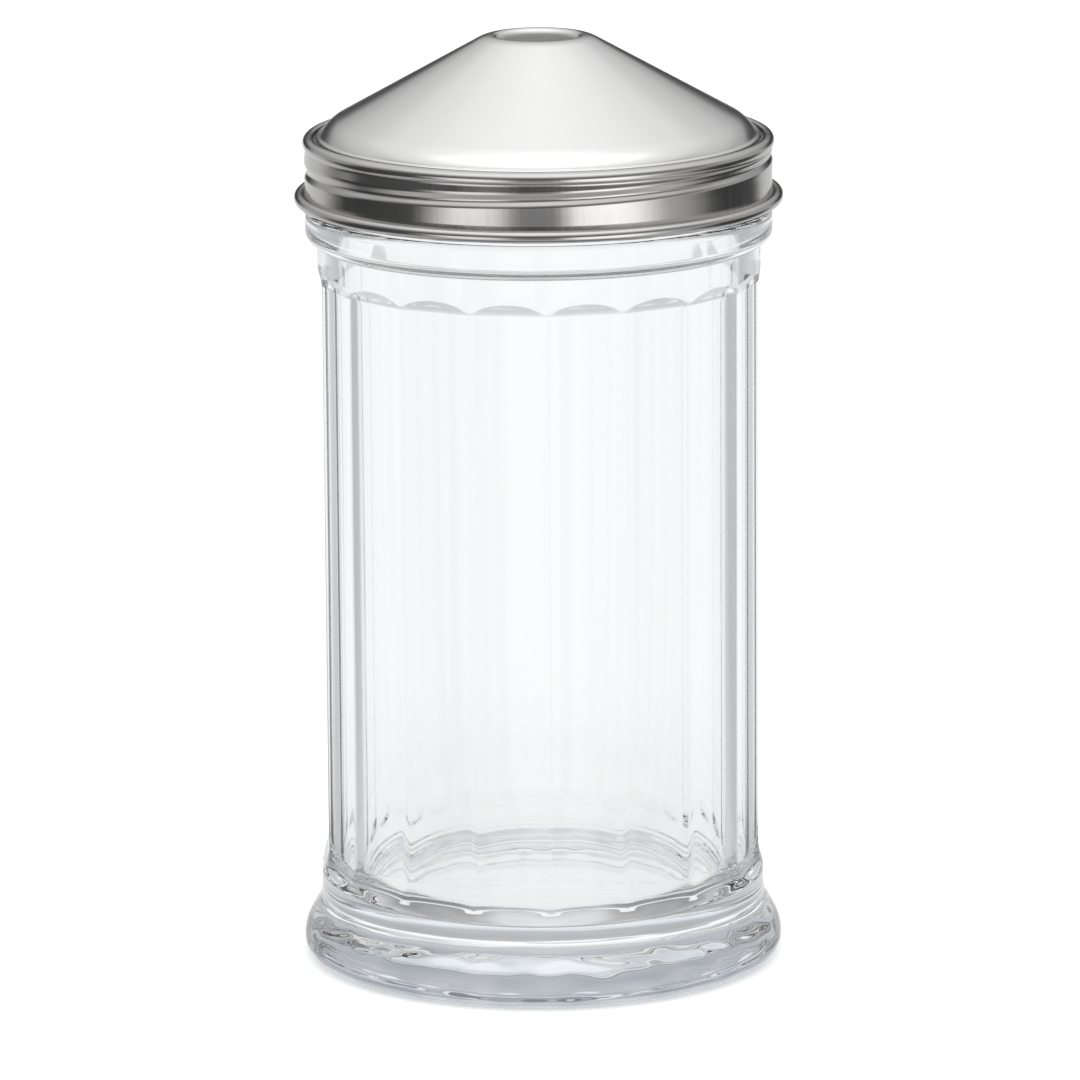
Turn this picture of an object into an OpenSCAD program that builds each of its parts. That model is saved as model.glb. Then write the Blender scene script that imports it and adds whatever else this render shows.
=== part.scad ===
// Sugar dispenser: panelled glass jar, screw band, spun cone with a centre mouth and a gravity flap.
// Millimetres. The jar stands on z = 0 with its axis on Z, and one ridge of the panels faces -Y.

/* [Jar] */
// Height of the glass from the table to its rim
jar_h = 128.7; // [110:0.1:160]
// Radius of the round neck above the panels
body_r = 34.5; // [32:0.1:40]
// Glass thickness behind the round neck
wall = 3.3; // [2.6:0.1:4.5]
// Thickness of the glass floor over the table
floor_t = 11; // [8:0.5:14]
// Radius where the floor meets the wall inside
floor_round = 6; // [3:0.5:9]
// Height of the hollow pushed up under the foot
punt_h = 1.6; // [0.8:0.1:2.4]
// Width of that hollow's sloping edge
punt_edge = 2.8; // [2:0.1:4]
// Width of the ring that the jar stands on
stand_w = 1.2; // [0.8:0.1:2]

/* [Foot] */
// How far the foot swells out past the neck
foot_out = 3.2; // [2.4:0.1:4.2]
// Radius of the foot's lower corner
foot_round = 2.8; // [2:0.1:3.4]
// Radius of the foot's upper swell
foot_swell = 7; // [5:0.1:9]
// Lean of the foot's flank from the vertical, in degrees
foot_lean = 29; // [22:1:36]
// Radius of the hollow that leads the foot into the body
foot_hollow = 6; // [4:0.1:7]
// How far the ring above the foot stands out past the neck
collar_out = 0.4; // [0.2:0.05:0.8]
// Height over which that ring fades into the body
collar_fade = 2.6; // [1.5:0.1:4]

/* [Panels] */
// Number of flat panels
panel_n = 18; // [12:1:24]
// Depth of a panel at its middle
panel_depth = 0.65; // [0.4:0.05:0.9]
// Radius of the run-out that gives both ends of a panel their arch
panel_runout = 3.5; // [2:0.1:4.5]
// Height where the panels start, at their middle
panel_lo = 14.4; // [13.5:0.1:20]
// Height of the plain neck between the panels and the bead
neck_h = 4; // [2:0.1:8]

/* [Bead and finish] */
// Height of the round bead under the lid
bead_h = 5.3; // [4.5:0.1:7]
// How far the screw finish stands out past the neck
finish_out = 0.5; // [0.3:0.05:1]
// How far the bead stands out past the finish
bead_out = 1.35; // [1:0.05:1.8]
// Radius of the bead's lower side
bead_round = 3.2; // [2.4:0.1:4]
// Height of the screw finish over the bead
finish_h = 9.4; // [9:0.1:12]
// Height of the bead's upper corner that meets the finish
bead_step = 0.15; // [0.1:0.05:0.3]
// Radius of the corners of the glass rim
rim_round = 0.9; // [0.5:0.1:1.2]

/* [Thread] */
// Rise of the thread in one turn
pitch = 5.08; // [4.6:0.02:5.6]
// Depth of the thread pressed into the band
thread_depth = 0.65; // [0.5:0.05:0.8]
// Room between the band's thread and the glass
thread_clear = 0.4; // [0.3:0.05:0.6]
// Room between the glass thread's crest and the band's skirt
crest_clear = 0.15; // [0.1:0.01:0.2]
// Half width of a thread at its foot
thread_foot = 1.15; // [1.05:0.05:1.2]
// Half width of a thread at its crest
thread_tip = 0.35; // [0.3:0.05:0.4]
// How deep the glass thread is rooted in the finish
thread_root = 0.4; // [0.2:0.05:0.8]
// Distance from the glass thread down to the band's thread
thread_drop = 1.3; // [1.2:0.05:1.6]
// Depth of the glass thread under the rim, at the front
thread_below = 1.3; // [1.1:0.05:2]

/* [Screw band] */
// Thickness of the sheet steel
sheet = 0.4; // [0.38:0.01:0.45]
// Radius of the rolled shoulder
roll_r = 1.15; // [1:0.05:1.3]
// How far the shoulder stands out past the thread
roll_out = 0.15; // [0.05:0.05:0.3]
// Depth of the neck under the shoulder
neck_in = 0.3; // [0.2:0.02:0.36]
// Depth of the skirt under the thread
skirt_in = 0.2; // [0.1:0.02:0.3]
// Height from the middle of the shoulder's roll down to the middle of the neck
neck_drop = 2.05; // [1.9:0.05:2.2]
// Height of the neck's straight upper half
neck_l = 0.45; // [0.3:0.05:0.5]
// Height of the slope from the neck to the thread
neck_slope = 0.7; // [0.5:0.05:0.9]
// Height from the band's thread, at the front, down to the skirt
skirt_drop = 2; // [1.8:0.05:2.2]
// Height of the slope from the thread to the skirt
skirt_slope = 0.5; // [0.3:0.05:0.7]
// Height over the curl where the skirt starts to flare
curl_lead = 0.6; // [0.4:0.05:0.9]
// Radius of the curled bottom edge
curl_r = 0.93; // [0.8:0.01:1.1]
// How far the curl stands out past the skirt
curl_out = 1.75; // [1.65:0.01:2]
// Room between the curl and the glass bead
curl_gap = 0.77; // [0.5:0.01:1.2]
// Room between the shoulder's lip and the cone's flange
capture_gap = 0.1; // [0.06:0.01:0.2]

/* [Cone] */
// Height of the mouth over the underside of the flange
cone_h = 16.45; // [14:0.05:24]
// Radius of the round shoulder from the cone to the mouth
crown_r = 5; // [3:0.1:7]
// Radius of the rolled lip of the mouth
lip_r = 1.1; // [0.8:0.05:1.5]
// Radius of the cone's lower corner
foot_corner = 1; // [0.6:0.05:1.4]
// Height of the short wall between flange and cone
foot_wall = 1.1; // [0.8:0.05:2]
// Radius of the bend between that wall and the flange
flange_bend = 0.3; // [0.2:0.05:0.5]
// Gap between that wall and the band's lip
foot_gap = 0.5; // [0.3:0.02:0.8]
// How far the flange reaches behind the band's neck
flange_hold = 0.25; // [0.15:0.01:0.3]

/* [Seal] */
// Thickness of the sealing washer
seal_t = 0.9; // [0.6:0.05:1.6]
// Width of the sealing washer
seal_w = 3.9; // [3:0.1:4.2]
// Room between the washer and the band
seal_side = 0.35; // [0.2:0.05:0.6]
// Room between the washer and the glass rim
seal_gap = 0.05; // [0.02:0.01:0.1]

/* [Throat and flap] */
// Inner radius of the throat tube
throat_r = 5.9; // [5.8:0.05:6.4]
// Length of the throat tube under the mouth
throat_l = 7.2; // [6.6:0.1:8.6]
// Height of the seat ring
seat_h = 3; // [2.8:0.1:3.4]
// Distance from the mouth down to the seat ring
seat_down = 3.1; // [2.9:0.05:3.3]
// Wall of the seat ring round its recess
seat_wall = 0.7; // [0.6:0.05:0.8]
// Width of the lip that the flap rests on
rest_w = 0.7; // [0.6:0.05:0.8]
// Depth of the recess that the flap lies in
recess_t = 2; // [1.9:0.05:2.1]
// Room round the flap in its recess
recess_gap = 0.6; // [0.5:0.05:0.62]
// Thickness of the flap
flap_t = 0.35; // [0.3:0.01:0.4]
// Room under the closed flap
flap_rest = 0.03; // [0.01:0.01:0.06]
// Distance from the flap's edge in to the hinge
hinge_in = 0.1; // [0:0.05:0.2]
// Radius of the hinge pin
pin_r = 0.45; // [0.4:0.01:0.5]
// Room between each end of the pin and the throat
pin_end = 0.15; // [0.05:0.05:0.25]
// Running room of the knuckle on its pin
pin_clear = 0.05; // [0.02:0.01:0.08]
// Wall of the rolled knuckle
knuckle_wall = 0.25; // [0.22:0.01:0.28]
// Length of the knuckle
knuckle_l = 3; // [2.4:0.1:3.2]
// Room at each side of the knuckle
knuckle_gap = 0.2; // [0.15:0.01:0.25]

/* [Hidden] */
$fn = 96;

// Radii of the glass
cavity_r = body_r - wall;
foot_r = body_r + foot_out;
collar_r = body_r + collar_out;
finish_r = body_r + finish_out;
bead_r = finish_r + bead_out;
flat_r = body_r - panel_depth;

// Heights of the glass
bead_top = jar_h - finish_h;
bead_low = bead_top - bead_h;
panel_hi = bead_low - neck_h;

// Radii of the band, outside
bulge_r = finish_r + thread_clear + thread_depth + sheet;
shoulder_r = bulge_r + roll_out;
neck_r = bulge_r - neck_in;
skirt_r = bulge_r - skirt_in;
curl_mid_r = skirt_r + curl_out - curl_r;
roll_mid_r = shoulder_r - roll_r;
crest_r = skirt_r - sheet - crest_clear;

// Heights of the lid
seal_z = jar_h + seal_gap;
flange_z = seal_z + seal_t;
lip_deg = 138;
roll_z = flange_z + sheet + capture_gap - (roll_r - sheet) * sin(lip_deg);
curl_z = bead_top + curl_gap + curl_r;
mouth_z = flange_z + cone_h;
seat_z = mouth_z - seat_down - seat_h;
rest_z = mouth_z - seat_down - recess_t;

// Hinge of the flap
recess_r = throat_r - seat_wall;
flap_r = recess_r - recess_gap;
hole_r = flap_r - rest_w;
knuckle_r = pin_r + pin_clear + knuckle_wall;
hinge_y = flap_r - hinge_in;
hinge_z = rest_z + flap_rest + knuckle_r;
pin_l = 2 * (sqrt(pow(throat_r, 2) - pow(hinge_y + pin_r, 2)) - pin_end);

// Points on an arc about [x, y] from angle a to angle b, in n steps
function arc(x, y, r, a, b, n = 8) =
    [for (i = [0:n]) [x + r * cos(a + (b - a) * i / n), y + r * sin(a + (b - a) * i / n)]];

// Height of the glass thread over its angle from the front, and its fade at both ends
front = -92;
function thread_z(a) = jar_h - thread_below + pitch * a / 360;
function fade(a, lo, hi, run) = min(1, (a - lo) / run, (hi - a) / run);

// A ridge that winds from angle lo to angle hi: foot radius, crest radius, half widths at both, height shift
module helix(lo, hi, run, r0, r1, w0, w1, drop, step = 6) {
    n = round((hi - lo) / step);
    rings = [for (i = [0:n]) let (a = lo + (hi - lo) * i / n, f = max(0.02, fade(a, lo, hi, run)))
        for (p = [[r0, -w0], [r0 + (r1 - r0) * f, -w1], [r0 + (r1 - r0) * f, w1], [r0, w0]])
            [p[0] * cos(a + front), p[0] * sin(a + front), thread_z(a) - drop + p[1]]];
    outward = r1 > r0;
    faces = concat(
        [for (i = [0:n - 1], k = [0:3]) let (q = 4 * i, m = (k + 1) % 4)
            outward ? [q + k, q + m, q + 4 + m, q + 4 + k] : [q + k, q + 4 + k, q + 4 + m, q + m]],
        [outward ? [3, 2, 1, 0] : [0, 1, 2, 3]],
        [[for (k = [0:3]) 4 * n + (outward ? k : 3 - k)]]);
    polyhedron(points = rings, faces = faces, convexity = 6);
}

module jar_outline() {
    stand_r = foot_r - foot_round;
    swell_x = foot_r - foot_swell;
    flank_r = swell_x + foot_swell * cos(foot_lean);
    flank_z = foot_round + foot_swell * sin(foot_lean);
    hollow_x = collar_r + foot_hollow;
    hollow_r = hollow_x - foot_hollow * cos(foot_lean);
    hollow_z = flank_z + (flank_r - hollow_r) / tan(foot_lean) + foot_hollow * sin(foot_lean);
    bead_mid = bead_low + sqrt(bead_round * bead_round - pow(bead_round - bead_r + body_r, 2));
    top_round = bead_out - bead_step;
    punt_r = stand_r - stand_w;
    polygon(concat(
        [[0, punt_h], [punt_r - punt_edge, punt_h], [punt_r, 0], [stand_r, 0]],
        arc(stand_r, foot_round, foot_round, -90, 0),
        arc(swell_x, foot_round, foot_swell, 0, foot_lean),
        arc(hollow_x, hollow_z, foot_hollow, 180 + foot_lean, 180),
        [[collar_r, panel_lo + collar_out], [body_r, panel_lo + collar_out + collar_fade]],
        arc(bead_r - bead_round, bead_mid, bead_round, asin((bead_low - bead_mid) / bead_round), 0),
        arc(bead_r - top_round, bead_top - top_round, top_round, 0, 90, 5),
        [[finish_r, bead_top]],
        arc(finish_r - rim_round, jar_h - rim_round, rim_round, 0, 90, 5),
        arc(cavity_r + rim_round, jar_h - rim_round, rim_round, 90, 180, 5),
        arc(cavity_r - floor_round, floor_t + floor_round, floor_round, 0, -90),
        [[0, floor_t]]
    ));
}

// The many-sided core that the glass is trimmed to. Its sides swell out again at both ends of the
// panels, and because the glass is round there, each panel ends in an arch.
module panel_core() {
    wide = 1.3 * foot_r;
    depth_lo = collar_r - flat_r;
    lo = panel_lo + sqrt(pow(panel_runout, 2) - pow(panel_runout - depth_lo, 2));
    hi = panel_hi - sqrt(pow(panel_runout, 2) - pow(panel_runout - panel_depth, 2));
    mid_r = flat_r + panel_runout;
    side = concat([[wide, -1], [wide, lo - panel_runout]],
        arc(mid_r, lo, panel_runout, 270, 180, 8), arc(mid_r, hi, panel_runout, 180, 90, 8),
        [[wide, hi + panel_runout], [wide, jar_h + 1]]);
    m = len(side);
    corners = [for (p = side, i = [0:panel_n - 1]) let (a = -90 + i * 360 / panel_n)
        [p[0] / cos(180 / panel_n) * cos(a), p[0] / cos(180 / panel_n) * sin(a), p[1]]];
    faces = concat(
        [for (k = [0:m - 2], i = [0:panel_n - 1]) let (q = k * panel_n, j = (i + 1) % panel_n)
            [q + i, q + panel_n + i, q + panel_n + j, q + j]],
        [[for (i = [0:panel_n - 1]) i]],
        [[for (i = [0:panel_n - 1]) m * panel_n - 1 - i]]);
    polyhedron(points = corners, faces = faces, convexity = 4);
}

module jar() {
    color([0.86, 0.92, 0.93, 0.45]) union() {
        intersection() {
            rotate_extrude() jar_outline();
            panel_core();
        }
        helix(-400, -40, 40, finish_r - thread_root, crest_r, thread_foot, thread_tip, 0);
    }
}

module band_outline() {
    curl_start = 185;
    curl_end = 500;
    neck_z = roll_z - neck_drop;
    bulge_z = neck_z - neck_slope;
    skirt_z = jar_h - thread_below - thread_drop - skirt_drop;
    flare_z = curl_z + curl_r + curl_lead;
    outer = concat(
        arc(roll_mid_r, roll_z, roll_r, lip_deg, 0, 10),
        arc(roll_mid_r, roll_z, roll_r, -20, -40, 2),
        [[neck_r, neck_z + neck_l], [neck_r, neck_z], [bulge_r, bulge_z],
         [bulge_r, skirt_z + skirt_slope], [skirt_r, skirt_z],
         [skirt_r, flare_z]],
        arc(curl_mid_r, curl_z, curl_r - sheet, curl_start, curl_end, 20));
    inner = concat(
        arc(curl_mid_r, curl_z, curl_r, curl_end, curl_start, 20),
        [[skirt_r - sheet, flare_z],
         [skirt_r - sheet, skirt_z], [bulge_r - sheet, skirt_z + skirt_slope],
         [bulge_r - sheet, bulge_z], [neck_r - sheet, neck_z],
         [neck_r - sheet, neck_z + neck_l]],
        arc(roll_mid_r, roll_z, roll_r - sheet, -40, -20, 2),
        arc(roll_mid_r, roll_z, roll_r - sheet, 0, lip_deg, 10));
    polygon(concat(outer, inner));
}

module screw_band() {
    ridge_r = finish_r + thread_clear;
    root_r = (bulge_r - sheet + neck_r) / 2;
    color([0.62, 0.62, 0.62]) difference() {
        union() {
            rotate_extrude() band_outline();
            helix(-200, 130, 40, root_r, ridge_r, thread_foot, thread_tip, thread_drop);
        }
        helix(-200, 130, 40, bulge_r + sheet, ridge_r + sheet, thread_foot + sheet / 4, thread_tip - 3 / 8 * sheet,
            thread_drop);
    }
}

module cone_outline() {
    lip_mid = throat_r + lip_r;
    wall_r = roll_mid_r + roll_r * cos(lip_deg) - foot_gap;
    corner_z = flange_z + sheet + foot_wall;
    corner_x = wall_r - foot_corner;
    crown_z = mouth_z - crown_r;
    run = corner_x - lip_mid;
    fall = crown_z - corner_z;
    slope = atan2(fall, run) + asin((crown_r - foot_corner) / sqrt(run * run + fall * fall));
    flange_r = neck_r - sheet + flange_hold;
    throat_z = mouth_z - throat_l;
    outer = concat(
        [[throat_r, throat_z]],
        arc(lip_mid, mouth_z - lip_r, lip_r, 180, 90, 6),
        arc(lip_mid, crown_z, crown_r, 90, 90 - slope),
        arc(corner_x, corner_z, foot_corner, 90 - slope, 0, 6),
        arc(wall_r + flange_bend, flange_z + sheet + flange_bend, flange_bend, 180, 270, 4),
        [[flange_r, flange_z + sheet]]);
    inner = concat(
        [[flange_r, flange_z]],
        arc(wall_r + flange_bend, flange_z + sheet + flange_bend, flange_bend + sheet, 270, 180, 4),
        arc(corner_x, corner_z, foot_corner - sheet, 0, 90 - slope, 6),
        arc(lip_mid, crown_z, crown_r - sheet, 90 - slope, 90),
        arc(lip_mid, mouth_z - lip_r, lip_r - sheet, 90, 180, 6),
        [[throat_r + sheet, throat_z]]);
    polygon(concat(outer, inner));
}

module cone_top() color([0.82, 0.82, 0.82]) rotate_extrude() cone_outline();

module seal_ring() {
    outer = neck_r - sheet - seal_side;
    color([0.9, 0.9, 0.88]) translate([0, 0, seal_z]) difference() {
        cylinder(r = outer, h = seal_t);
        translate([0, 0, -1]) cylinder(r = outer - seal_w, h = seal_t + 2);
    }
}

// A pin-wise cylinder along X at the hinge
module along_hinge(r, l) translate([0, hinge_y, hinge_z]) rotate([0, 90, 0]) cylinder(r = r, h = l, center = true);

module flap_seat() {
    slot_w = knuckle_l + 2 * knuckle_gap;
    color([0.7, 0.7, 0.7]) difference() {
        translate([0, 0, seat_z]) cylinder(r = throat_r, h = seat_h);
        translate([0, 0, seat_z - 1]) cylinder(r = hole_r, h = seat_h + 2);
        translate([0, 0, rest_z]) cylinder(r = recess_r, h = seat_h);
        translate([-slot_w / 2, 0, rest_z])
            cube([slot_w, hinge_y + knuckle_r + knuckle_gap, seat_h]);
        along_hinge(pin_r, pin_l);
    }
}

module flap() {
    plate_z = rest_z + flap_rest;
    color([0.75, 0.75, 0.75]) difference() {
        union() {
            translate([0, 0, plate_z]) cylinder(r = flap_r, h = flap_t);
            translate([-knuckle_l / 2, 0, plate_z]) cube([knuckle_l, hinge_y, flap_t]);
            along_hinge(knuckle_r, knuckle_l);
        }
        along_hinge(pin_r + pin_clear, knuckle_l + 2);
    }
}

module hinge_pin() color([0.6, 0.6, 0.6]) along_hinge(pin_r, pin_l);

jar();
screw_band();
cone_top();
seal_ring();
flap_seat();
flap();
hinge_pin();
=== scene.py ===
import math

import bmesh
import bpy
from mathutils import Matrix, Vector


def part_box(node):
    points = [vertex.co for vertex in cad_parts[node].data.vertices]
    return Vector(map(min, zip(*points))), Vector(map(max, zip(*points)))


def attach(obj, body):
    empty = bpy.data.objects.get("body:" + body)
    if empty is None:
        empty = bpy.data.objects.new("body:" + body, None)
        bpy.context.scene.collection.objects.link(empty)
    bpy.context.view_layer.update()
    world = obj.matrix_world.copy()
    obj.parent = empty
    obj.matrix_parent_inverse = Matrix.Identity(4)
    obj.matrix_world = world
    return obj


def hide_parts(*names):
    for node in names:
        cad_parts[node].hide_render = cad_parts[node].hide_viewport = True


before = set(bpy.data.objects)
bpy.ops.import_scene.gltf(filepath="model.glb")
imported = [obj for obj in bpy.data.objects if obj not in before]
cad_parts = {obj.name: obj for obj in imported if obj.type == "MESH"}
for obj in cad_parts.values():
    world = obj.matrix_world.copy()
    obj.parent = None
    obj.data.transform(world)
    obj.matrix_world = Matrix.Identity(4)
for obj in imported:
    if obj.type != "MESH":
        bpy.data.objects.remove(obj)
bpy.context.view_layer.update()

mm = 0.001
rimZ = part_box("jar")[1].z
bandLow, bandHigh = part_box("screw_band")
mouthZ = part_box("cone_top")[1].z


# Small helpers

def arc(r, z, radius, start, end, steps):
    # points of an arc in the plane of the profile, angles in degrees
    points = []
    for i in range(steps + 1):
        a = math.radians(start + (end - start) * i / steps)
        points.append((r + radius * math.cos(a), z + radius * math.sin(a)))
    return points


def line(start, end, steps):
    # points between two places, both ends left out
    return [
        (start[0] + (end[0] - start[0]) * i / steps, start[1] + (end[1] - start[1]) * i / steps)
        for i in range(1, steps)
    ]


def joined(*runs):
    # runs of points set end to end, without doubled ones
    points = []
    for run in runs:
        for p in run:
            if not points or math.dist(p, points[-1]) > 0.004 * mm:
                points.append(p)
    return points


def smoothStep(t):
    t = min(1.0, max(0.0, t))
    return t * t * (3 - 2 * t)


def softMin(a, b, width):
    # the smaller of two values, rounded over a width
    h = max(0.0, 1 - abs(a - b) / width)
    return min(a, b) - h * h * width / 4


def spunShell(profile, steps, closedLoop):
    # turns a profile of (radius, height) once round Z into a closed shell
    shell = bmesh.new()
    verts = [shell.verts.new((r, 0, z)) for r, z in profile]
    edges = [shell.edges.new(pair) for pair in zip(verts, verts[1:])]
    if closedLoop:
        edges.append(shell.edges.new((verts[-1], verts[0])))
    bmesh.ops.spin(
        shell, geom=verts + edges, cent=(0, 0, 0), axis=(0, 0, 1), dvec=(0, 0, 0),
        angle=2 * math.pi, steps=steps, use_merge=True, use_duplicate=False,
    )
    onAxis = [v for v in shell.verts if math.hypot(v.co.x, v.co.y) < 0.01 * mm]
    if onAxis:
        bmesh.ops.remove_doubles(shell, verts=onAxis, dist=0.02 * mm)
    bmesh.ops.recalc_face_normals(shell, faces=shell.faces)
    return shell


def pieceFrom(shell, name, body, material, node):
    mesh = bpy.data.meshes.new(name)
    shell.to_mesh(mesh)
    shell.free()
    mesh.polygons.foreach_set("use_smooth", [True] * len(mesh.polygons))
    piece = bpy.data.objects.new(name, mesh)
    bpy.context.scene.collection.objects.link(piece)
    piece.data.materials.append(material)
    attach(piece, body)
    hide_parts(node)


# Shader groups

def addSocket(group, name, direction, kind, value=None):
    socket = group.interface.new_socket(name=name, in_out=direction, socket_type=kind)
    if value is not None:
        socket.default_value = value
    return socket


def mathNode(tree, operation, a, b=None, c=None):
    node = tree.nodes.new("ShaderNodeMath")
    node.operation = operation
    for socket, value in zip(node.inputs, (a, b, c)):
        if value is None:
            continue
        if isinstance(value, (int, float)):
            socket.default_value = value
        else:
            tree.links.new(value, socket)
    return node.outputs[0]


def lengthOf(tree, x, y):
    # distance from the axis
    return mathNode(tree, "SQRT", mathNode(
        tree, "ADD", mathNode(tree, "MULTIPLY", x, x), mathNode(tree, "MULTIPLY", y, y)))


def splitPlace(tree, place):
    split = tree.nodes.new("ShaderNodeSeparateXYZ")
    tree.links.new(place, split.inputs[0])
    return split.outputs


def noiseNode(tree, place, scale, detail):
    noise = tree.nodes.new("ShaderNodeTexNoise")
    noise.inputs["Scale"].default_value = scale
    noise.inputs["Detail"].default_value = detail
    tree.links.new(place, noise.inputs["Vector"])
    return noise


def rangeNode(tree, value, fromRange, toRange=(0.0, 1.0)):
    fit = tree.nodes.new("ShaderNodeMapRange")
    fit.inputs["From Min"].default_value, fit.inputs["From Max"].default_value = fromRange
    fit.inputs["To Min"].default_value, fit.inputs["To Max"].default_value = toRange
    tree.links.new(value, fit.inputs["Value"])
    return fit.outputs[0]


def levelRamp(tree, value, low, high, stops):
    # brightness along a value, from (value, brightness) pairs
    ramp = tree.nodes.new("ShaderNodeValToRGB")
    ramp.color_ramp.interpolation = "EASE"
    places = [((at - low) / (high - low), level) for at, level in stops]
    for element, (where, level) in zip(ramp.color_ramp.elements, (places[0], places[-1])):
        element.position = where
        element.color = (level, level, level, 1)
    for where, level in places[1:-1]:
        ramp.color_ramp.elements.new(where).color = (level, level, level, 1)
    tree.links.new(rangeNode(tree, value, (low, high)), ramp.inputs[0])
    return ramp.outputs[0]


def mixColor(tree, factor, a, b):
    mix = tree.nodes.new("ShaderNodeMix")
    mix.data_type = "RGBA"
    for name, value in (("Factor", factor), ("A", a), ("B", b)):
        socket = mix.inputs[name]
        if isinstance(value, (int, float)) and socket.type == "RGBA":
            socket.default_value = (value, value, value, 1)
        elif isinstance(value, (int, float, tuple)):
            socket.default_value = value
        else:
            tree.links.new(value, socket)
    return mix.outputs["Result"]


def tinted(tree, color, tint):
    # one colour multiplied by another
    mix = mixColor(tree, 1.0, color, tint)
    mix.node.blend_type = "MULTIPLY"
    return mix


def fadeBetween(tree, value, low, high):
    fade = rangeNode(tree, value, (low, high))
    fade.node.interpolation_type = "SMOOTHSTEP"
    return fade


def lightPath(tree, name):
    return tree.nodes.new("ShaderNodeLightPath").outputs[name]


def mixShaders(tree, factor, first, second):
    blend = tree.nodes.new("ShaderNodeMixShader")
    tree.links.new(factor, blend.inputs[0])
    tree.links.new(first.outputs[0], blend.inputs[1])
    tree.links.new(second.outputs[0], blend.inputs[2])
    tree.links.new(blend.outputs[0], tree.nodes["Material Output"].inputs["Surface"])


turned = dict(slant=1.3, drift=0.6, roundDetail=4.0, crossDetail=3.0,
              cloudScale=90.0, cloudDetail=5.0)


def makeTurnedGroup():
    # fine lines that run round the axis, and short ones that cross them
    group = bpy.data.node_groups.new("turnedMarks", "ShaderNodeTree")
    addSocket(group, "Round Density", "INPUT", "NodeSocketFloat", 4000.0)
    addSocket(group, "Cross Density", "INPUT", "NodeSocketFloat", 220.0)
    addSocket(group, "Cross Length", "INPUT", "NodeSocketFloat", 300.0)
    addSocket(group, "Round Marks", "OUTPUT", "NodeSocketFloat")
    addSocket(group, "Cross Marks", "OUTPUT", "NodeSocketFloat")
    addSocket(group, "Cloud", "OUTPUT", "NodeSocketFloat")
    addSocket(group, "Radius", "OUTPUT", "NodeSocketFloat")
    nodes, links = group.nodes, group.links
    inlet = nodes.new("NodeGroupInput")
    outlet = nodes.new("NodeGroupOutput")
    place = nodes.new("ShaderNodeTexCoord")
    x, y, z = splitPlace(group, place.outputs["Object"])
    radius = lengthOf(group, x, y)
    slant = mathNode(group, "ADD", mathNode(group, "MULTIPLY", radius, turned["slant"]), z)
    angle = mathNode(group, "ARCTAN2", y, x)

    def placed(*parts):
        spot = nodes.new("ShaderNodeCombineXYZ")
        for part, socket in zip(parts, spot.inputs):
            links.new(mathNode(group, "MULTIPLY", *part), socket)
        return spot.outputs[0]

    turn = mathNode(group, "COSINE", angle), mathNode(group, "SINE", angle)
    roundPlace = placed((slant, inlet.outputs["Round Density"]),
                        *((t, turned["drift"]) for t in turn))
    roundNoise = noiseNode(group, roundPlace, 1.0, turned["roundDetail"])
    crossPlace = placed(*((t, inlet.outputs["Cross Density"]) for t in turn),
                        (z, inlet.outputs["Cross Length"]))
    crossNoise = noiseNode(group, crossPlace, 1.0, turned["crossDetail"])
    cloudNoise = noiseNode(group, place.outputs["Object"],
                           turned["cloudScale"], turned["cloudDetail"])
    links.new(roundNoise.outputs[0], outlet.inputs["Round Marks"])
    links.new(crossNoise.outputs[0], outlet.inputs["Cross Marks"])
    links.new(cloudNoise.outputs[0], outlet.inputs["Cloud"])
    links.new(radius, outlet.inputs["Radius"])
    return group


def makeRangeGroup():
    # spreads a noise pattern, which lies mostly between 0.3 and 0.7, over a range of values
    group = bpy.data.node_groups.new("spread", "ShaderNodeTree")
    addSocket(group, "Pattern", "INPUT", "NodeSocketFloat", 0.5)
    addSocket(group, "Low", "INPUT", "NodeSocketFloat", 0.0)
    addSocket(group, "High", "INPUT", "NodeSocketFloat", 1.0)
    addSocket(group, "Value", "OUTPUT", "NodeSocketFloat")
    inlet = group.nodes.new("NodeGroupInput")
    outlet = group.nodes.new("NodeGroupOutput")
    fit = group.nodes.new("ShaderNodeMapRange")
    fit.inputs["From Min"].default_value = 0.3
    fit.inputs["From Max"].default_value = 0.7
    group.links.new(inlet.outputs["Pattern"], fit.inputs["Value"])
    group.links.new(inlet.outputs["Low"], fit.inputs["To Min"])
    group.links.new(inlet.outputs["High"], fit.inputs["To Max"])
    group.links.new(fit.outputs[0], outlet.inputs["Value"])
    return group


turnedMarks = makeTurnedGroup()
spread = makeRangeGroup()


def placeGroup(tree, group, **values):
    node = tree.nodes.new("ShaderNodeGroup")
    node.node_tree = group
    for name, value in values.items():
        socket = node.inputs[name.replace("_", " ")]
        if isinstance(value, (int, float)):
            socket.default_value = value
        else:
            tree.links.new(value, socket)
    return node


def newMaterial(name):
    material = bpy.data.materials.new(name)
    material.use_nodes = True
    return material, material.node_tree, material.node_tree.nodes["Principled BSDF"]


def bumpFrom(tree, height, strength, distance, before=None):
    bump = tree.nodes.new("ShaderNodeBump")
    bump.inputs["Strength"].default_value = strength
    bump.inputs["Distance"].default_value = distance
    tree.links.new(height, bump.inputs["Height"])
    if before is not None:
        tree.links.new(before.outputs[0], bump.inputs["Normal"])
    return bump


# Materials

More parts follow.
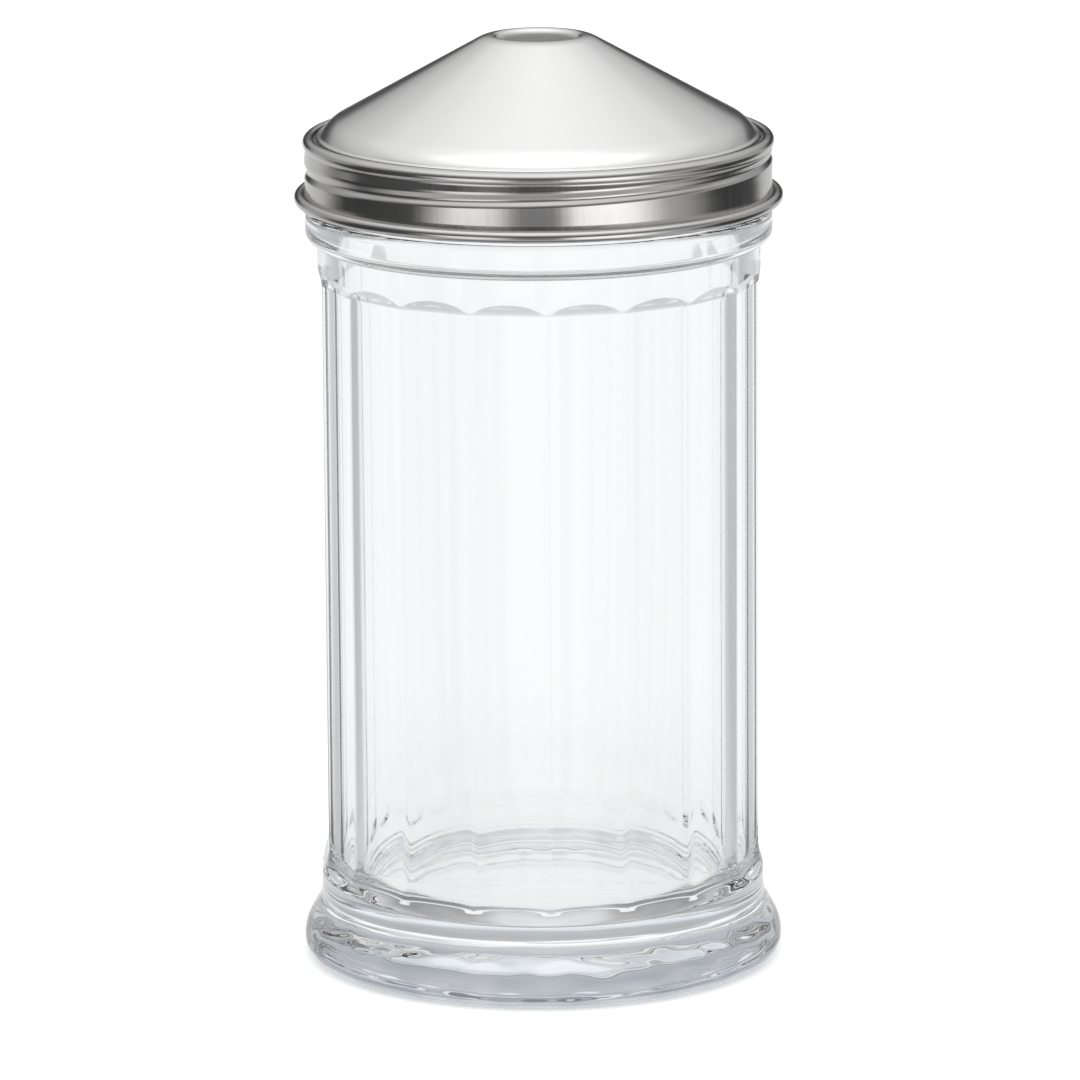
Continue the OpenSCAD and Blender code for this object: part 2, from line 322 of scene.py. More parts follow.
steelLooks = {
    "band": dict(
        dark=(0.53, 0.52, 0.515), pale=(0.61, 0.60, 0.595), rough=(0.12, 0.2),
        roundDensity=5200.0, crossDensity=60.0, crossLength=60.0, roundBump=0.10, crossBump=0.10),
    "cone": dict(
        dark=(0.76, 0.76, 0.755), pale=(0.80, 0.80, 0.795), rough=(0.14, 0.22),
        roundDensity=2600.0, crossDensity=40.0, crossLength=90.0, roundBump=0.03, crossBump=0.01,
        throat=(6.1 * mm, 6.7 * mm), throatRough=0.5),
    "seat": dict(
        dark=(0.48, 0.48, 0.47), pale=(0.58, 0.58, 0.57), rough=(0.25, 0.4),
        roundDensity=9000.0, crossDensity=30.0, crossLength=400.0, roundBump=0.15, crossBump=0.02),
    "flap": dict(
        dark=(0.58, 0.58, 0.57), pale=(0.68, 0.68, 0.67), rough=(0.18, 0.3),
        roundDensity=7000.0, crossDensity=30.0, crossLength=400.0, roundBump=0.08, crossBump=0.02),
    "pin": dict(
        dark=(0.45, 0.45, 0.45), pale=(0.56, 0.56, 0.56), rough=(0.2, 0.35),
        roundDensity=9000.0, crossDensity=90.0, crossLength=500.0, roundBump=0.08, crossBump=0.04),
}


def makeSteel(name, look):
    material, tree, shader = newMaterial(name)
    marks = placeGroup(tree, turnedMarks, Round_Density=look["roundDensity"],
                       Cross_Density=look["crossDensity"], Cross_Length=look["crossLength"])
    tint = mixColor(tree, marks.outputs["Cloud"], (*look["dark"], 1), (*look["pale"], 1))
    tree.links.new(tint, shader.inputs["Base Color"])
    lowRough, highRough = look["rough"]
    grain = placeGroup(tree, spread, Pattern=marks.outputs["Cross Marks"],
                       Low=lowRough, High=highRough).outputs["Value"]
    if "throat" in look:
        # the sheet stays unpolished inside the mouth
        inside = rangeNode(tree, marks.outputs["Radius"], look["throat"],
                           (look["throatRough"], 0.0))
        grain = mathNode(tree, "MAXIMUM", inside, grain)
    tree.links.new(grain, shader.inputs["Roughness"])
    shader.inputs["Metallic"].default_value = 1.0
    first = bumpFrom(tree, marks.outputs["Round Marks"], look["roundBump"], 0.02 * mm)
    second = bumpFrom(tree, marks.outputs["Cross Marks"], look["crossBump"], 0.05 * mm, first)
    tree.links.new(second.outputs[0], shader.inputs["Normal"])
    return material


glassLook = dict(
    tint=(0.985, 0.992, 0.995), ior=1.51, shadow=(0.96, 0.97, 0.97),
    waveScale=38.0, waveStretch=0.35, waveBump=0.05, baseScale=110.0, baseWave=1.6, detail=1.0,
    # from and to where the base grows uneven, and where its rim gets painted shade, darker and bluish
    # in patches
    baseZ=(12 * mm, 6 * mm), footShadeTint=(0.42, 0.47, 0.53), footZ=(8.5 * mm, 2 * mm),
    footR=(33.8 * mm, 36 * mm), patch=(0.35, 0.6), patchLow=0.55,
)


def makeGlass(name, look):
    material, tree, shader = newMaterial(name)
    shader.inputs["Roughness"].default_value = 0.0
    shader.inputs["Metallic"].default_value = 0.0
    shader.inputs["IOR"].default_value = look["ior"]
    shader.inputs["Transmission Weight"].default_value = 1.0
    place = tree.nodes.new("ShaderNodeTexCoord").outputs["Object"]
    stretch = tree.nodes.new("ShaderNodeMapping")
    stretch.inputs["Scale"].default_value = (1, 1, look["waveStretch"])
    tree.links.new(place, stretch.inputs["Vector"])
    wave = noiseNode(tree, stretch.outputs[0], look["waveScale"], look["detail"]).outputs[0]
    # the thick base is more uneven than the wall
    swirl = noiseNode(tree, place, look["baseScale"], look["detail"]).outputs[0]
    x, y, z = splitPlace(tree, place)
    low = rangeNode(tree, z, look["baseZ"], (0.0, look["baseWave"]))
    uneven = mathNode(tree, "ADD", wave, mathNode(tree, "MULTIPLY", swirl, low))
    # and painted shade: the foot's outer rim is tinted darker and bluish toward the table, in patches
    foot = rangeNode(tree, z, look["footZ"])
    outward = rangeNode(tree, lengthOf(tree, x, y), look["footR"])
    patches = rangeNode(tree, swirl, look["patch"], (look["patchLow"], 1.0))
    paintedFootShade = mathNode(tree, "MULTIPLY", mathNode(tree, "MULTIPLY", foot, outward), patches)
    tree.links.new(mixColor(tree, paintedFootShade, (*look["tint"], 1), (*look["footShadeTint"], 1)),
                   shader.inputs["Base Color"])
    bump = bumpFrom(tree, uneven, look["waveBump"], 2 * mm)
    tree.links.new(bump.outputs[0], shader.inputs["Normal"])
    clear = tree.nodes.new("ShaderNodeBsdfTransparent")
    clear.inputs["Color"].default_value = (*look["shadow"], 1)
    mixShaders(tree, lightPath(tree, "Is Shadow Ray"), shader, clear)
    return material


rubberLook = dict(
    dark=(0.72, 0.72, 0.69), pale=(0.84, 0.84, 0.81), rough=(0.5, 0.7),
    roundDensity=6000.0, crossDensity=30.0, crossLength=200.0, roundBump=0.2,
)


def makeRubber(name, look):
    material, tree, shader = newMaterial(name)
    marks = placeGroup(tree, turnedMarks, Round_Density=look["roundDensity"],
                       Cross_Density=look["crossDensity"], Cross_Length=look["crossLength"])
    tint = mixColor(tree, marks.outputs["Cloud"], (*look["dark"], 1), (*look["pale"], 1))
    tree.links.new(tint, shader.inputs["Base Color"])
    lowRough, highRough = look["rough"]
    dull = placeGroup(tree, spread, Pattern=marks.outputs["Round Marks"],
                      Low=lowRough, High=highRough)
    tree.links.new(dull.outputs["Value"], shader.inputs["Roughness"])
    bump = bumpFrom(tree, marks.outputs["Round Marks"], look["roundBump"], 0.03 * mm)
    tree.links.new(bump.outputs[0], shader.inputs["Normal"])
    return material


bandSteel = makeSteel("satinBandSteel", steelLooks["band"])
coneSteel = makeSteel("polishedConeSteel", steelLooks["cone"])
seatSteel = makeSteel("turnedSeatSteel", steelLooks["seat"])
flapSteel = makeSteel("stampedFlapSteel", steelLooks["flap"])
pinSteel = makeSteel("drawnPinSteel", steelLooks["pin"])
clearGlass = makeGlass("pressedGlass", glassLook)
sealRubber = makeRubber("sealRubber", rubberLook)
for nodeName, material in (("seal_ring", sealRubber), ("flap_seat", seatSteel), ("flap", flapSteel),
                           ("hinge_pin", pinSteel)):
    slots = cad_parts[nodeName].data.materials
    slots.clear()
    slots.append(material)
print("materials made")


# Thread, shared by the glass and the band

thread = dict(pitch=5.08 * mm, belowRim=1.3 * mm, front=-92.0, start=-400, end=-40, run=40,
              halfWidth=1.1 * mm)


def threadHeight(angle):
    # height of the glass thread's middle at an angle from the front, in degrees
    return rimZ - thread["belowRim"] + thread["pitch"] * angle / 360


def threadShape(x, y, z):
    # how much of the thread's full depth there is at a place, over all its turns
    a = math.degrees(math.atan2(y, x)) - thread["front"]
    best = 0.0
    for turn in (-2, -1, 0, 1):
        here = a + 360 * turn
        if thread["start"] < here < thread["end"]:
            away = abs(z - threadHeight(here)) / thread["halfWidth"]
            fade = smoothStep(min(here - thread["start"], thread["end"] - here) / thread["run"])
            best = max(best, fade * (0.5 + 0.5 * math.cos(math.pi * min(1.0, away))))
    return best


# Glass jar

jar = dict(
    bodyR=34.5 * mm, wall=3.3 * mm, floorT=11 * mm, floorRound=6 * mm, puntH=1.6 * mm,
    puntEdge=2.8 * mm, standW=1.2 * mm, footOut=3.2 * mm, footRound=2.8 * mm, footSwell=7 * mm,
    footLean=29.0, footHollow=6 * mm, collarOut=0.4 * mm, collarFade=2.6 * mm,
    panelCount=18, panelDepth=0.65 * mm, panelLow=14.4 * mm, neckH=4 * mm, middle=60 * mm,
    # the slanted facets at the panels' ends, and how soft all edges are
    topRise=2.1 * mm, lowRise=3.4 * mm, facetSoft=0.16 * mm, facetHollow=0.4, lowSoft=0.3 * mm,
    topSoft=0.04 * mm, ridgeRound=0.12 * mm, lowReach=4 * mm, topReach=2 * mm,
    beadH=5.3 * mm, finishOut=0.5 * mm, beadOut=1.35 * mm, beadRound=2.0 * mm, beadStep=0.15 * mm,
    finishH=9.4 * mm, rimRound=0.9 * mm, threadOut=0.7 * mm,
    # steps round the axis, height of a row, and where the rows are close
    steps=324, row=0.26 * mm, denseLow=22 * mm, denseTop=7 * mm,
)


def jarProfile(j):
    body = j["bodyR"]
    cavity = body - j["wall"]
    foot = body + j["footOut"]
    collar = body + j["collarOut"]
    finish = body + j["finishOut"]
    bead = finish + j["beadOut"]
    beadTop = rimZ - j["finishH"]
    beadLow = beadTop - j["beadH"]
    stand = foot - j["footRound"]
    punt = stand - j["standW"]
    lean = math.radians(j["footLean"])
    swellR = foot - j["footSwell"]
    flankR = swellR + j["footSwell"] * math.cos(lean)
    flankZ = j["footRound"] + j["footSwell"] * math.sin(lean)
    hollowR = collar + j["footHollow"]
    flankEndR = hollowR - j["footHollow"] * math.cos(lean)
    hollowZ = flankZ + (flankR - flankEndR) / math.tan(lean) + j["footHollow"] * math.sin(lean)
    flankEnd = (flankEndR, hollowZ - j["footHollow"] * math.sin(lean))
    beadMid = beadLow + math.sqrt(j["beadRound"] ** 2 - (j["beadRound"] - bead + body) ** 2)
    topRound = j["beadOut"] - j["beadStep"]
    collarTop = j["panelLow"] + j["collarOut"]
    fadeTop = collarTop + j["collarFade"]
    panelTop = beadLow - j["neckH"]
    lowDense, highDense = j["denseLow"], panelTop - j["denseTop"]
    beadStart = math.degrees(math.asin((beadLow - beadMid) / j["beadRound"]))
    rimLow = rimZ - j["rimRound"]
    floorMid = (cavity - j["floorRound"], j["floorT"] + j["floorRound"])

    def wall(r, z, endR, endZ):
        # close rows up to a place, and the place
        rows = max(2, round(abs(endZ - z) / j["row"]))
        return line((r, z), (endR, endZ), rows) + [(endR, endZ)]

    outer = joined(
        [(0, j["puntH"])], line((0, j["puntH"]), (punt - j["puntEdge"], j["puntH"]), 10),
        [(punt - j["puntEdge"], j["puntH"])],
        arc(punt - j["puntEdge"] * 0.8, 0.3 * j["puntH"], 0.7 * j["puntH"], 90, 40, 5),
        [(punt, 0.03 * mm), (punt + 0.1 * mm, 0)], line((punt, 0), (stand, 0), 3), [(stand, 0)],
        arc(stand, j["footRound"], j["footRound"], -90, 0, 14),
        arc(swellR, j["footRound"], j["footSwell"], 0, j["footLean"], 12),
        line((flankR, flankZ), flankEnd, 6),
        arc(hollowR, hollowZ, j["footHollow"], 180 + j["footLean"], 180, 12),
        wall(collar, hollowZ, collar, collarTop), wall(collar, collarTop, body, fadeTop),
        wall(body, fadeTop, body, lowDense),
        line((body, lowDense), (body, highDense), 10), [(body, highDense)],
        wall(body, highDense, body, beadLow)[:-1],
        arc(bead - j["beadRound"], beadMid, j["beadRound"], beadStart, 0, 14),
        arc(bead - topRound, beadTop - topRound, topRound, 0, 90, 8),
        [(finish, beadTop)], wall(finish, beadTop, finish, rimLow)[:-1],
        arc(finish - j["rimRound"], rimLow, j["rimRound"], 0, 90, 8),
    )
    inner = joined(
        arc(cavity + j["rimRound"], rimLow, j["rimRound"], 90, 180, 8),
        line((cavity, rimLow), (cavity, floorMid[1]), 24),
        arc(*floorMid, j["floorRound"], 0, -90, 16),
        line((floorMid[0], j["floorT"]), (0, j["floorT"]), 10), [(0, j["floorT"])],
    )
    return joined(outer, inner), panelTop


def shapePanels(shell, j, panelTop):
    # presses the flat panels and the screw thread into the round glass
    body = j["bodyR"]
    flat = body - j["panelDepth"]
    cavity = body - j["wall"]
    step = 2 * math.pi / j["panelCount"]
    beadTop = rimZ - j["finishH"]
    for v in shell.verts:
        x, y, z = v.co
        radius = math.hypot(x, y)
        if radius < cavity + 0.2 * mm:
            continue
        angle = math.atan2(y, x)
        if z > beadTop:
            full = threadShape(x, y, z)
            grow = (radius + j["threadOut"] * full) / radius
            v.co.x, v.co.y = x * grow, y * grow
            continue
        if z < j["panelLow"] - j["lowReach"] or z > panelTop + j["topReach"]:
            continue
        offset = (angle + math.pi / 2) / step
        beside = (offset - math.floor(offset) - 0.5) * step
        # each end is a slanted facet, which the round glass cuts to an arch
        lower = z < j["middle"]
        depth = j["panelDepth"] + (j["collarOut"] if lower else 0)
        rise = j["lowRise"] if lower else j["topRise"]
        over = max(j["panelLow"] + rise - z if lower else z - panelTop + rise, 0.0)
        soft = j["facetSoft"]
        up = (over * over / (2 * soft) if over < soft else over - soft / 2) / rise
        swell = depth * up * (1 - j["facetHollow"] + j["facetHollow"] * up)
        side = (flat + swell) / math.cos(beside)
        other = (flat + swell) / math.cos(step - abs(beside))
        panel = softMin(side, other, j["ridgeRound"])
        target = softMin(radius, panel, j["lowSoft"] if lower else j["topSoft"])
        v.co.x, v.co.y = x * target / radius, y * target / radius


profile, panelTopZ = jarProfile(jar)
jarShell = spunShell(profile, jar["steps"], False)
shapePanels(jarShell, jar, panelTopZ)
pieceFrom(jarShell, "glassJar", "jar", clearGlass, "jar")
print("glass jar made")


# Screw band

band = dict(
    finishR=35.0 * mm, threadClear=0.4 * mm, threadDepth=0.65 * mm, sheet=0.4 * mm,
    rollOut=0.15 * mm, rollR=1.05 * mm, rollDown=0.15 * mm, skirtIn=0.15 * mm,
    curlR=0.93 * mm, curlOut=1.7 * mm, flareUp=0.5 * mm, neckZ=128.55 * mm,
    lipDeg=125.0, rollEnd=-50, curlStart=185.0, curlEnd=500.0, steps=384, row=0.14 * mm,
    # how far the wall stands out from the skirt, and at what height in front
    neckOut=-0.08 * mm, crestOut=0.1 * mm, grooveOut=-0.45 * mm, ridgeOut=0.08 * mm,
    crestZ=127.6 * mm, crestPitch=4.4 * mm, grooveZ=126.4 * mm, groovePitch=4.9 * mm,
    ridgeDown=0.9 * mm, tailDown=1.3 * mm, bend=0.22 * mm, crestGap=0.8 * mm, crestBelow=0.25 * mm,
    # angles from the front where the thread starts, ends and wraps, and over which it fades
    threadStart=-205, threadEnd=145, threadFade=50, crestKept=0.3,
)


def bandProfile(b):
    bulge = b["finishR"] + b["threadClear"] + b["threadDepth"] + b["sheet"]
    skirt = bulge - b["skirtIn"]
    t = b["sheet"]
    rollMid = (bulge + b["rollOut"] - b["rollR"], bandHigh.z - b["rollR"] - b["rollDown"])
    curlMid = (skirt + b["curlOut"] - b["curlR"], bandLow.z + b["curlR"])
    flareZ = curlMid[1] + b["curlR"] + b["flareUp"]

    def wall(shift):
        top, low = (skirt - shift, b["neckZ"]), (skirt - shift, flareZ)
        return [top] + line(top, low, round(math.dist(top, low) / b["row"])) + [low]

    outside = joined(
        arc(*rollMid, b["rollR"], b["lipDeg"], 0, 18),
        arc(*rollMid, b["rollR"], 0, b["rollEnd"], 7),
        wall(0),
        arc(*curlMid, b["curlR"] - t, b["curlStart"], b["curlEnd"], 30),
    )
    inside = joined(
        arc(*curlMid, b["curlR"], b["curlEnd"], b["curlStart"], 30),
        list(reversed(wall(t))),
        arc(*rollMid, b["rollR"] - t, b["rollEnd"], 0, 7),
        arc(*rollMid, b["rollR"] - t, 0, b["lipDeg"], 18),
    )
    return joined(outside, inside)


def along(value, stops):
    # straight runs through (place, value) pairs
    for (p, u), (q, v) in zip(stops, stops[1:]):
        if value <= q:
            return u + (v - u) * max(0.0, value - p) / (q - p)
    return stops[-1][1]


def pressThread(shell, b):
    # presses the helical thread into both sides of the sheet
    flareZ = bandLow.z + 2 * b["curlR"] + b["flareUp"]
    floorR = b["finishR"] + b["threadClear"]
    middleR = b["finishR"] + 1.2 * mm  # parts the sheet's inner side from its outer one
    for v in shell.verts:
        x, y, z = v.co
        if z < flareZ + 0.01 * mm or z > b["neckZ"] + 0.01 * mm:
            continue
        radius = math.hypot(x, y)
        a = (math.degrees(math.atan2(y, x)) - thread["front"] + 180) % 360 - 180
        turn = a - 360 if a > b["threadEnd"] else a
        fade = smoothStep(min(turn - b["threadStart"], b["threadEnd"] - turn) / b["threadFade"])
        crestZ = min(b["crestZ"] + b["crestPitch"] * turn / 360, b["neckZ"] - b["crestBelow"])
        grooveZ = b["grooveZ"] + b["groovePitch"] * turn / 360
        crestZ = max(crestZ, grooveZ + b["crestGap"])
        ridgeZ = grooveZ - b["ridgeDown"]
        crestOut = b["crestOut"] * (b["crestKept"] + (1 - b["crestKept"]) * fade)
        stops = [
            (-b["neckZ"], b["neckOut"]), (-crestZ, crestOut), (-grooveZ, b["grooveOut"] * fade),
            (-ridgeZ, b["ridgeOut"] * fade), (b["tailDown"] - ridgeZ, 0.0),
        ]
        out = sum(along(b["bend"] * k - z, stops) for k in (-1, -0.6, -0.2, 0.2, 0.6, 1)) / 6
        target = max(radius + out, floorR if radius < middleR else floorR + b["sheet"])
        v.co.x, v.co.y = x * target / radius, y * target / radius


bandShell = spunShell(bandProfile(band), band["steps"], True)
pressThread(bandShell, band)
pieceFrom(bandShell, "screwBand", "band", bandSteel, "screw_band")
print("screw band made")


# Spun cone with its mouth

cone = dict(
    sheet=0.4 * mm, throatR=5.9 * mm, throatL=7.2 * mm, lipR=1.1 * mm, crownR=5 * mm, slope=29.08,
    footStart=31.2 * mm, footR=6.8 * mm, footSlope=60.0, beadR=0.36 * mm, beadAt=34.12 * mm,
    beadZ=0.37 * mm, beadFillet=0.15 * mm, flangeUp=0.95 * mm, flangeOut=35.82 * mm,
    flangeFillet=0.3 * mm, steps=256,
)


def coneProfile(c):
    t = c["sheet"]
    lipMid = c["throatR"] + c["lipR"]
    flangeZ = rimZ + c["flangeUp"]
    flangeTop = flangeZ + t
    beadMid = (c["beadAt"], flangeTop + c["beadZ"])
    crownZ = mouthZ - c["crownR"]
    startN, endN = 90 - c["slope"], 90 - c["footSlope"]
    crownEnd = arc(lipMid, crownZ, c["crownR"], startN, startN, 1)[0]
    footZ = crownEnd[1] - (c["footStart"] - crownEnd[0]) * math.tan(math.radians(c["slope"]))
    footMid = (c["footStart"] - c["footR"] * math.cos(math.radians(startN)),
               footZ - c["footR"] * math.sin(math.radians(startN)))
    throatZ = mouthZ - c["throatL"]

    def skin(shift):
        crown = arc(lipMid, crownZ, c["crownR"] - shift, 90, startN, 20)
        foot = arc(*footMid, c["footR"] - shift, startN, endN, 24)
        lipArc = arc(lipMid, mouthZ - c["lipR"], c["lipR"] - shift, 180, 90, 12)
        throat = [(c["throatR"] + shift, throatZ)]
        return joined(throat, line(throat[0], lipArc[0], 8), lipArc, crown,
                      line(crown[-1], foot[0], 40), foot)

    beadEnd, inEnd = c["beadFillet"], c["flangeFillet"]
    outside = joined(
        skin(0), arc(*beadMid, c["beadR"], 140, -20, 14),
        arc(beadMid[0] + c["beadR"] + beadEnd, flangeTop + beadEnd, beadEnd, 180, 270, 5),
        [(c["flangeOut"], flangeTop)],
    )
    inside = joined(
        [(c["flangeOut"], flangeZ)],
        arc(beadMid[0] + 0.1 * mm, flangeZ + inEnd, inEnd, 270, 190, 5),
        list(reversed(skin(t))),
    )
    return joined(outside, inside)


coneShell = spunShell(coneProfile(cone), cone["steps"], True)
pieceFrom(coneShell, "spunCone", "lid", coneSteel, "cone_top")
print("cone made")


# Floor, light and camera

studio = dict(
    floorR=3.0, floorColor=(0.93, 0.93, 0.93), floorRough=0.9,
    keyPower=10.0, keySize=0.9, keyHeight=1.1,
    # what steel mirrors, as (angle, brightness): the table and the horizon round the axis from
    # the front, the near table and the sky by height
    table=[(-180, 0.8), (-140, 0.7), (-112, 0.06), (-68, 0.08), (-40, 1.3), (-28, 1.25),
           (-10, 0.3), (5, 0.3), (20, 1.6), (38, 1.7), (70, 0.5), (100, 0.06), (128, 0.08),
           (145, 0.7), (180, 0.8)],
    nearTable=[(-90, 0.1), (-72, 0.2), (-58, 0.5), (-42, 0.8), (-18, 0.9)],
    horizon=[(-180, 0.05), (-158, 0.05), (-140, 0.5), (-112, 0.45), (-98, 0.08), (-44, 0.1),
             (-28, 0.25), (-5, 0.08), (20, 0.2), (40, 0.45), (135, 0.5), (152, 0.05), (180, 0.05)],
    backSky=[(0, 0.4), (14, 0.45), (30, 0.68), (46, 0.92), (62, 1.08), (76, 1.25), (90, 1.4)],
    frontSky=[(0, 0.1), (10, 0.12), (25, 0.3), (45, 0.95), (60, 1.45), (90, 1.4)],
    # angles over which those run into each other
    sideFade=(75.0, 115.0), aboveFade=(-5.0, -2.0), skyFade=(8.0, 15.0), tableFade=(-50.0, -34.0),
    # what glass shows of the studio: by the angle to the side, and by height
    seeThrough=[(0, 0.85), (40, 0.85), (60, 0.5), (75, 0.45), (90, 0.9), (140, 0.98), (180, 0.98)],
    throughUp=[(-90, 0.5), (-45, 0.7), (-20, 0.95), (-8, 0.95), (-4, 0.68), (6, 0.68), (15, 1.0),
               (30, 1.0), (50, 0.8), (90, 0.6)],
    # what the solid base shows: by height, by distance under it in mm, and by how far to the side; the
    # table parts are a painted glow, with painted shadow darker round the foot
    baseUp=[(-90, 0.3), (-5, 0.45), (0, 0.5), (9, 0.6), (13, 1.1), (20, 1.1), (24, 0.9),
            (30, 0.3), (50, 0.3), (60, 1.0), (90, 0.4)],
    underBase=[(0, 0.8), (27, 0.75), (33, 0.64), (45, 0.64), (60, 0.7), (100, 0.9)],
    underSides=[(0, 1.05), (0.28, 1.0), (0.5, 0.6), (0.8, 0.5), (1, 0.75)],
    baseTable=[(0, 0.66), (0.12, 0.6), (0.3, 0.26), (0.6, 0.3), (1, 0.5)],
    baseTint=(0.96, 0.98, 1.0, 1.0), baseReach=(60.0, 160.0), baseSlant=(0.05, 0.1),
    # light that crossed up to two glass faces came through the base, and more through the wall
    glassFaces=(0.4, 0.6), baseFaces=(2.4, 2.6),
    # the table as the wall shows it, by distance from the axis in mm, and how streaky it is; a painted
    # glow, with painted contact shadow darker near the jar
    seenTable=[(0, 0.86), (38, 0.9), (66, 0.92), (107, 0.945), (200, 0.985), (1100, 0.99),
               (1900, 0.75), (3000, 0.68)],
    stripe=0.05, stripeScale=7.0,
)


def makeFloor(s):
    shell = bmesh.new()
    bmesh.ops.create_circle(shell, cap_ends=True, segments=96, radius=s["floorR"])
    mesh = bpy.data.meshes.new("studioFloor")
    shell.to_mesh(mesh)
    shell.free()
    floor = bpy.data.objects.new("studioFloor", mesh)
    bpy.context.scene.collection.objects.link(floor)
    material, tree, shader = newMaterial("studioFloor")
    shader.inputs["Base Color"].default_value = (*s["floorColor"], 1)
    shader.inputs["Roughness"].default_value = s["floorRough"]
    x, y, z = splitPlace(tree, tree.nodes.new("ShaderNodeTexCoord").outputs["Object"])
    # for rays through the glass the floor glows instead of being lit: painted light, with painted
    # shadow near the jar
    away = mathNode(tree, "MULTIPLY", lengthOf(tree, x, y), 1 / mm)
    level = levelRamp(tree, away, 0.0, 3000.0, s["seenTable"])
    stripes = tree.nodes.new("ShaderNodeTexNoise")
    stripes.noise_dimensions = "1D"
    stripes.inputs["Scale"].default_value = s["stripeScale"]
    stripes.inputs["Detail"].default_value = 1.0
    tree.links.new(mathNode(tree, "ARCTAN2", x, y), stripes.inputs["W"])
    shade = mathNode(tree, "MULTIPLY_ADD", stripes.outputs[0], s["stripe"] * 2, 1 - s["stripe"])
    aside = mathNode(tree, "ABSOLUTE", mathNode(tree, "MULTIPLY", x, 1 / mm))
    sideways = mathNode(tree, "DIVIDE", aside, mathNode(tree, "ADD", away, 1.0))
    # light from the base reaches the table at a flatter angle than light from the wall
    slant = splitPlace(tree, tree.nodes.new("ShaderNodeNewGeometry").outputs["Incoming"])[2]
    flat = mathNode(tree, "SUBTRACT", 1.0, fadeBetween(tree, slant, *s["baseSlant"]))
    near = mathNode(tree, "MULTIPLY", fadeBetween(tree, away, *s["baseReach"]), flat)
    under = tinted(tree, levelRamp(tree, away, 0.0, 100.0, s["underBase"]), s["baseTint"])
    under = tinted(tree, under, levelRamp(tree, sideways, 0.0, 1.0, s["underSides"]))
    far = tinted(tree, levelRamp(tree, sideways, 0.0, 1.0, s["baseTable"]), s["baseTint"])
    inBase = mixColor(tree, near, under, far)
    faces = lightPath(tree, "Transmission Depth")
    level = mixColor(tree, fadeBetween(tree, faces, *s["baseFaces"]), inBase, level)
    # painted glow that the glass shows in place of the lit table
    paintedGlow = tree.nodes.new("ShaderNodeEmission")
    tree.links.new(level, paintedGlow.inputs["Color"])
    tree.links.new(shade, paintedGlow.inputs["Strength"])
    mixShaders(tree, lightPath(tree, "Is Transmission Ray"), shader, paintedGlow)
    floor.data.materials.append(material)
    floor.visible_glossy = False


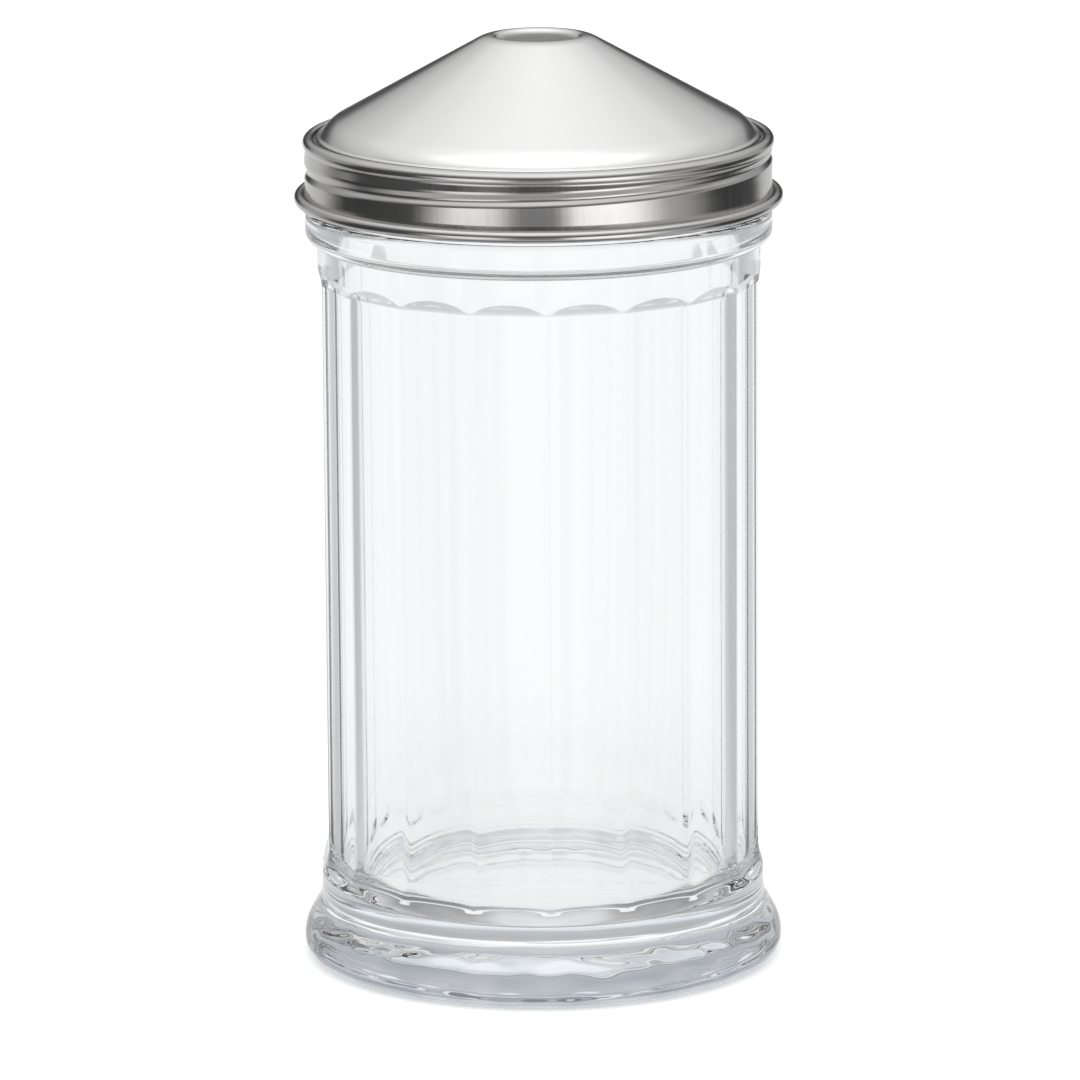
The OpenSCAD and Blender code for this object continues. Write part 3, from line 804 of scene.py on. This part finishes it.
def makeWorld(s):
    world = bpy.data.worlds.new("softStudio")
    bpy.context.scene.world = world
    world.use_nodes = True
    tree = world.node_tree
    x, y, z = splitPlace(tree, tree.nodes.new("ShaderNodeTexCoord").outputs["Generated"])
    toDegrees = 180 / math.pi
    height = mathNode(tree, "MULTIPLY", mathNode(tree, "ARCSINE", z), toDegrees)
    bearing = mathNode(tree, "ARCTAN2", x, mathNode(tree, "MULTIPLY", y, -1.0))
    around = mathNode(tree, "MULTIPLY", bearing, toDegrees)
    aside = mathNode(tree, "ABSOLUTE", around)

    def byHeight(name, low=-90.0, high=90.0):
        return levelRamp(tree, height, low, high, s[name])

    # what steel mirrors
    sky = mixColor(tree, fadeBetween(tree, aside, *s["sideFade"]),
                   byHeight("frontSky", 0.0), byHeight("backSky", 0.0))
    upper = mixColor(tree, fadeBetween(tree, height, *s["skyFade"]),
                     levelRamp(tree, around, -180.0, 180.0, s["horizon"]), sky)
    lower = mixColor(tree, fadeBetween(tree, height, *s["tableFade"]), byHeight("nearTable", high=0.0),
                     levelRamp(tree, around, -180.0, 180.0, s["table"]))
    mirrored = mixColor(tree, fadeBetween(tree, height, *s["aboveFade"]), lower, upper)
    # what glass lets through
    faces = lightPath(tree, "Transmission Depth")
    inBase = tinted(tree, byHeight("baseUp"), s["baseTint"])
    inWall = byHeight("throughUp")
    upward = mixColor(tree, fadeBetween(tree, faces, *s["baseFaces"]), inBase, inWall)
    upward = mixColor(tree, fadeBetween(tree, faces, *s["glassFaces"]), 1.0, upward)
    through = tinted(tree, upward, levelRamp(tree, aside, 0.0, 180.0, s["seeThrough"]))
    plain = mixColor(tree, lightPath(tree, "Is Glossy Ray"), (1.0, 1.0, 1.0, 1.0), mirrored)
    inGlass = mathNode(tree, "MAXIMUM", lightPath(tree, "Is Transmission Ray"),
                       lightPath(tree, "Is Singular Ray"))
    onlyGlass = mathNode(tree, "SUBTRACT", inGlass, lightPath(tree, "Is Camera Ray"))
    tree.links.new(mixColor(tree, onlyGlass, plain, through),
                   tree.nodes["Background"].inputs["Color"])


def makeLight(name, power, size, place, aim):
    light = bpy.data.lights.new(name, "AREA")
    light.energy = power
    light.shape = "DISK"
    light.size = size
    lamp = bpy.data.objects.new(name, light)
    lamp.location = place
    lamp.rotation_euler = (Vector(aim) - Vector(place)).to_track_quat("-Z", "Y").to_euler()
    lamp.visible_glossy = False
    lamp.visible_transmission = False
    bpy.context.scene.collection.objects.link(lamp)


view = dict(distance=1221.5 * mm, height=337.67 * mm, pitch=12.537, azimuth=-2.0, roll=-0.37,
            aside=0.006, lens=266.06, sensor=36)


def makeCamera(v):
    data = bpy.data.cameras.new("photoCamera")
    data.lens = v["lens"]
    data.sensor_width = v["sensor"]
    data.clip_start = 0.05
    data.clip_end = 50
    camera = bpy.data.objects.new("photoCamera", data)
    a = math.radians(v["azimuth"])
    spot = Vector((math.sin(a) * v["distance"], -math.cos(a) * v["distance"], v["height"]))
    turn = (Matrix.Rotation(a + math.radians(v["aside"]), 4, "Z")
            @ Matrix.Rotation(math.radians(90 - v["pitch"]), 4, "X")
            @ Matrix.Rotation(math.radians(v["roll"]), 4, "Z"))
    camera.matrix_world = Matrix.Translation(spot) @ turn
    bpy.context.scene.collection.objects.link(camera)
    bpy.context.scene.camera = camera


makeFloor(studio)
makeWorld(studio)
makeLight("overheadSoftbox", studio["keyPower"], studio["keySize"],
          (0.0, 0.0, studio["keyHeight"]), (0, 0, 0.1))
makeCamera(view)
bpy.context.scene.view_settings.view_transform = "Standard"
bounces = bpy.context.scene.cycles
bounces.max_bounces = 32
bounces.glossy_bounces = 16
bounces.transmission_bounces = 24
bounces.transparent_max_bounces = 16
print("studio made")

bpy.context.view_layer.update()
